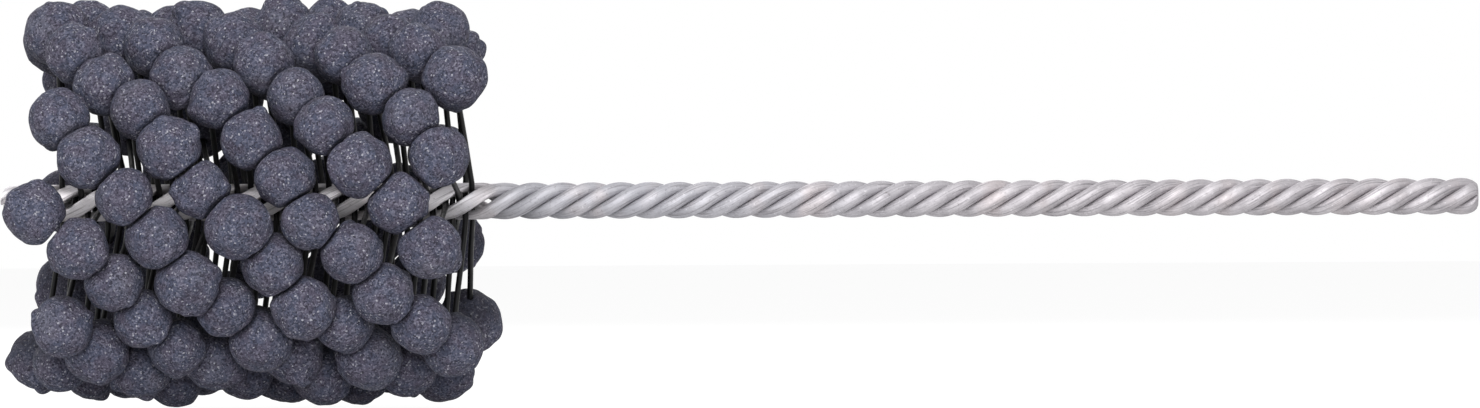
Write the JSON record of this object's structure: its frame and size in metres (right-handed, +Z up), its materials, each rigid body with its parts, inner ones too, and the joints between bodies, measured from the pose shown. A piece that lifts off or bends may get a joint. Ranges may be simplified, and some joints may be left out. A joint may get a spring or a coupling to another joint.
{
  "type": "flexible ball hone",
  "caption": "Flexible cylinder hone: twisted wire stem whose clamped nylon filaments carry abrasive balls that form a springy, self-centring round head for a drill",
  "frame": {"origin": "centre of the face of the stem's driven end, on the stem's axis", "axes": "+X along the stem and out of its driven end, -Y towards the viewer of the picture, +Z up"},
  "size_m": [0.2032, 0.0567, 0.0563],
  "materials": {
    "drawn_wire": "drawn steel wire, satin, with fine marks along the wire",
    "filament": "black extruded nylon, smooth",
    "abrasive": "slate blue-grey moulded abrasive with fine sparkling grit"
  },
  "bodies": {
    "stem": {"stem_wire_a": "drawn_wire", "stem_wire_b": "drawn_wire", "stem_wire_c": "drawn_wire", "stem_wire_d": "drawn_wire", "clamped_filaments": "filament"},
    "row_01": {"ball_row_01": "abrasive", "filament_row_01": "filament"},
    "row_02": {"ball_row_02": "abrasive", "filament_row_02": "filament"},
    "row_03": {"ball_row_03": "abrasive", "filament_row_03": "filament"},
    "row_04": {"ball_row_04": "abrasive", "filament_row_04": "filament"},
    "row_05": {"ball_row_05": "abrasive", "filament_row_05": "filament"},
    "row_06": {"ball_row_06": "abrasive", "filament_row_06": "filament"},
    "row_07": {"ball_row_07": "abrasive", "filament_row_07": "filament"},
    "row_08": {"ball_row_08": "abrasive", "filament_row_08": "filament"},
    "row_09": {"ball_row_09": "abrasive", "filament_row_09": "filament"},
    "row_10": {"ball_row_10": "abrasive", "filament_row_10": "filament"},
    "row_11": {"ball_row_11": "abrasive", "filament_row_11": "filament"},
    "row_12": {"ball_row_12": "abrasive", "filament_row_12": "filament"},
    "row_13": {"ball_row_13": "abrasive", "filament_row_13": "filament"},
    "row_14": {"ball_row_14": "abrasive", "filament_row_14": "filament"},
    "row_15": {"ball_row_15": "abrasive", "filament_row_15": "filament"},
    "row_16": {"ball_row_16": "abrasive", "filament_row_16": "filament"},
    "row_17": {"ball_row_17": "abrasive", "filament_row_17": "filament"},
    "row_18": {"ball_row_18": "abrasive", "filament_row_18": "filament"},
    "row_19": {"ball_row_19": "abrasive", "filament_row_19": "filament"},
    "row_20": {"ball_row_20": "abrasive", "filament_row_20": "filament"},
    "row_21": {"ball_row_21": "abrasive", "filament_row_21": "filament"},
    "row_22": {"ball_row_22": "abrasive", "filament_row_22": "filament"},
    "row_23": {"ball_row_23": "abrasive", "filament_row_23": "filament"},
    "row_24": {"ball_row_24": "abrasive", "filament_row_24": "filament"}
  },
  "joints": [
    {"name": "row_lean_01", "type": "hinge", "parent": "stem", "child": "row_01", "pos_m": [-0.19487, -0.00115, 0.00353], "axis": [0.9997, 0.0226, 0.0034], "range_deg": [-30, 30], "stiffness_Nm_per_rad": 0.066},
    {"name": "row_lean_02", "type": "hinge", "parent": "stem", "child": "row_02", "pos_m": [-0.1886, -0.00005, 0.00371], "axis": [0.9997, 0.0227, -0.0027], "range_deg": [-30, 30], "stiffness_Nm_per_rad": 0.055},
    {"name": "row_lean_03", "type": "hinge", "parent": "stem", "child": "row_03", "pos_m": [-0.19308, 0.00081, 0.00362], "axis": [0.9997, 0.0211, -0.0086], "range_deg": [-30, 30], "stiffness_Nm_per_rad": 0.066},
    {"name": "row_lean_04", "type": "hinge", "parent": "stem", "child": "row_04", "pos_m": [-0.18682, 0.00185, 0.00322], "axis": [0.9997, 0.0181, -0.0139], "range_deg": [-30, 30], "stiffness_Nm_per_rad": 0.055},
    {"name": "row_lean_05", "type": "hinge", "parent": "stem", "child": "row_05", "pos_m": [-0.19129, 0.00254, 0.0027], "axis": [0.9997, 0.0144, -0.0177], "range_deg": [-30, 30], "stiffness_Nm_per_rad": 0.055},
    {"name": "row_lean_06", "type": "hinge", "parent": "stem", "child": "row_06", "pos_m": [-0.18502, 0.00323, 0.00183], "axis": [0.9997, 0.0085, -0.0212], "range_deg": [-30, 30], "stiffness_Nm_per_rad": 0.055},
    {"name": "row_lean_07", "type": "hinge", "parent": "stem", "child": "row_07", "pos_m": [-0.1895, 0.00357, 0.00103], "axis": [0.9997, 0.0034, -0.0226], "range_deg": [-30, 30], "stiffness_Nm_per_rad": 0.055},
    {"name": "row_lean_08", "type": "hinge", "parent": "stem", "child": "row_08", "pos_m": [-0.19398, 0.00371, 0.00017], "axis": [0.9997, -0.0027, -0.0227], "range_deg": [-30, 30], "stiffness_Nm_per_rad": 0.066},
    {"name": "row_lean_09", "type": "hinge", "parent": "stem", "child": "row_09", "pos_m": [-0.18771, 0.00359, -0.00093], "axis": [0.9997, -0.0086, -0.0212], "range_deg": [-30, 30], "stiffness_Nm_per_rad": 0.055},
    {"name": "row_lean_10", "type": "hinge", "parent": "stem", "child": "row_10", "pos_m": [-0.19218, 0.00328, -0.00174], "axis": [0.9997, -0.0139, -0.0181], "range_deg": [-30, 30], "stiffness_Nm_per_rad": 0.066},
    {"name": "row_lean_11", "type": "hinge", "parent": "stem", "child": "row_11", "pos_m": [-0.18592, 0.00262, -0.00263], "axis": [0.9997, -0.0182, -0.0138], "range_deg": [-30, 30], "stiffness_Nm_per_rad": 0.055},
    {"name": "row_lean_12", "type": "hinge", "parent": "stem", "child": "row_12", "pos_m": [-0.1904, 0.00193, -0.00317], "axis": [0.9997, -0.0209, -0.0092], "range_deg": [-30, 30], "stiffness_Nm_per_rad": 0.055},
    {"name": "row_lean_13", "type": "hinge", "parent": "stem", "child": "row_13", "pos_m": [-0.19487, 0.00115, -0.00353], "axis": [0.9997, -0.0226, -0.0034], "range_deg": [-30, 30], "stiffness_Nm_per_rad": 0.066},
    {"name": "row_lean_14", "type": "hinge", "parent": "stem", "child": "row_14", "pos_m": [-0.1886, 0.00005, -0.00371], "axis": [0.9997, -0.0227, 0.0027], "range_deg": [-30, 30], "stiffness_Nm_per_rad": 0.055},
    {"name": "row_lean_15", "type": "hinge", "parent": "stem", "child": "row_15", "pos_m": [-0.19308, -0.00081, -0.00362], "axis": [0.9997, -0.0211, 0.0086], "range_deg": [-30, 30], "stiffness_Nm_per_rad": 0.066},
    {"name": "row_lean_16", "type": "hinge", "parent": "stem", "child": "row_16", "pos_m": [-0.18682, -0.00185, -0.00322], "axis": [0.9997, -0.0181, 0.0139], "range_deg": [-30, 30], "stiffness_Nm_per_rad": 0.055},
    {"name": "row_lean_17", "type": "hinge", "parent": "stem", "child": "row_17", "pos_m": [-0.19129, -0.00254, -0.0027], "axis": [0.9997, -0.0144, 0.0177], "range_deg": [-30, 30], "stiffness_Nm_per_rad": 0.055},
    {"name": "row_lean_18", "type": "hinge", "parent": "stem", "child": "row_18", "pos_m": [-0.18502, -0.00323, -0.00183], "axis": [0.9997, -0.0085, 0.0212], "range_deg": [-30, 30], "stiffness_Nm_per_rad": 0.055},
    {"name": "row_lean_19", "type": "hinge", "parent": "stem", "child": "row_19", "pos_m": [-0.1895, -0.00357, -0.00103], "axis": [0.9997, -0.0034, 0.0226], "range_deg": [-30, 30], "stiffness_Nm_per_rad": 0.055},
    {"name": "row_lean_20", "type": "hinge", "parent": "stem", "child": "row_20", "pos_m": [-0.19398, -0.00371, -0.00017], "axis": [0.9997, 0.0027, 0.0227], "range_deg": [-30, 30], "stiffness_Nm_per_rad": 0.066},
    {"name": "row_lean_21", "type": "hinge", "parent": "stem", "child": "row_21", "pos_m": [-0.18771, -0.00359, 0.00093], "axis": [0.9997, 0.0086, 0.0212], "range_deg": [-30, 30], "stiffness_Nm_per_rad": 0.055},
    {"name": "row_lean_22", "type": "hinge", "parent": "stem", "child": "row_22", "pos_m": [-0.19218, -0.00328, 0.00174], "axis": [0.9997, 0.0139, 0.0181], "range_deg": [-30, 30], "stiffness_Nm_per_rad": 0.066},
    {"name": "row_lean_23", "type": "hinge", "parent": "stem", "child": "row_23", "pos_m": [-0.18592, -0.00262, 0.00263], "axis": [0.9997, 0.0182, 0.0138], "range_deg": [-30, 30], "stiffness_Nm_per_rad": 0.055},
    {"name": "row_lean_24", "type": "hinge", "parent": "stem", "child": "row_24", "pos_m": [-0.1904, -0.00193, 0.00317], "axis": [0.9997, 0.0209, 0.0092], "range_deg": [-30, 30], "stiffness_Nm_per_rad": 0.055}
  ],
  "couplings": [
    {"joint": "row_lean_02", "follows": "row_lean_01", "ratio": 1},
    {"joint": "row_lean_03", "follows": "row_lean_01", "ratio": 1},
    {"joint": "row_lean_04", "follows": "row_lean_01", "ratio": 1},
    {"joint": "row_lean_05", "follows": "row_lean_01", "ratio": 1},
    {"joint": "row_lean_06", "follows": "row_lean_01", "ratio": 1},
    {"joint": "row_lean_07", "follows": "row_lean_01", "ratio": 1},
    {"joint": "row_lean_08", "follows": "row_lean_01", "ratio": 1},
    {"joint": "row_lean_09", "follows": "row_lean_01", "ratio": 1},
    {"joint": "row_lean_10", "follows": "row_lean_01", "ratio": 1},
    {"joint": "row_lean_11", "follows": "row_lean_01", "ratio": 1},
    {"joint": "row_lean_12", "follows": "row_lean_01", "ratio": 1},
    {"joint": "row_lean_13", "follows": "row_lean_01", "ratio": 1},
    {"joint": "row_lean_14", "follows": "row_lean_01", "ratio": 1},
    {"joint": "row_lean_15", "follows": "row_lean_01", "ratio": 1},
    {"joint": "row_lean_16", "follows": "row_lean_01", "ratio": 1},
    {"joint": "row_lean_17", "follows": "row_lean_01", "ratio": 1},
    {"joint": "row_lean_18", "follows": "row_lean_01", "ratio": 1},
    {"joint": "row_lean_19", "follows": "row_lean_01", "ratio": 1},
    {"joint": "row_lean_20", "follows": "row_lean_01", "ratio": 1},
    {"joint": "row_lean_21", "follows": "row_lean_01", "ratio": 1},
    {"joint": "row_lean_22", "follows": "row_lean_01", "ratio": 1},
    {"joint": "row_lean_23", "follows": "row_lean_01", "ratio": 1},
    {"joint": "row_lean_24", "follows": "row_lean_01", "ratio": 1}
  ]
}
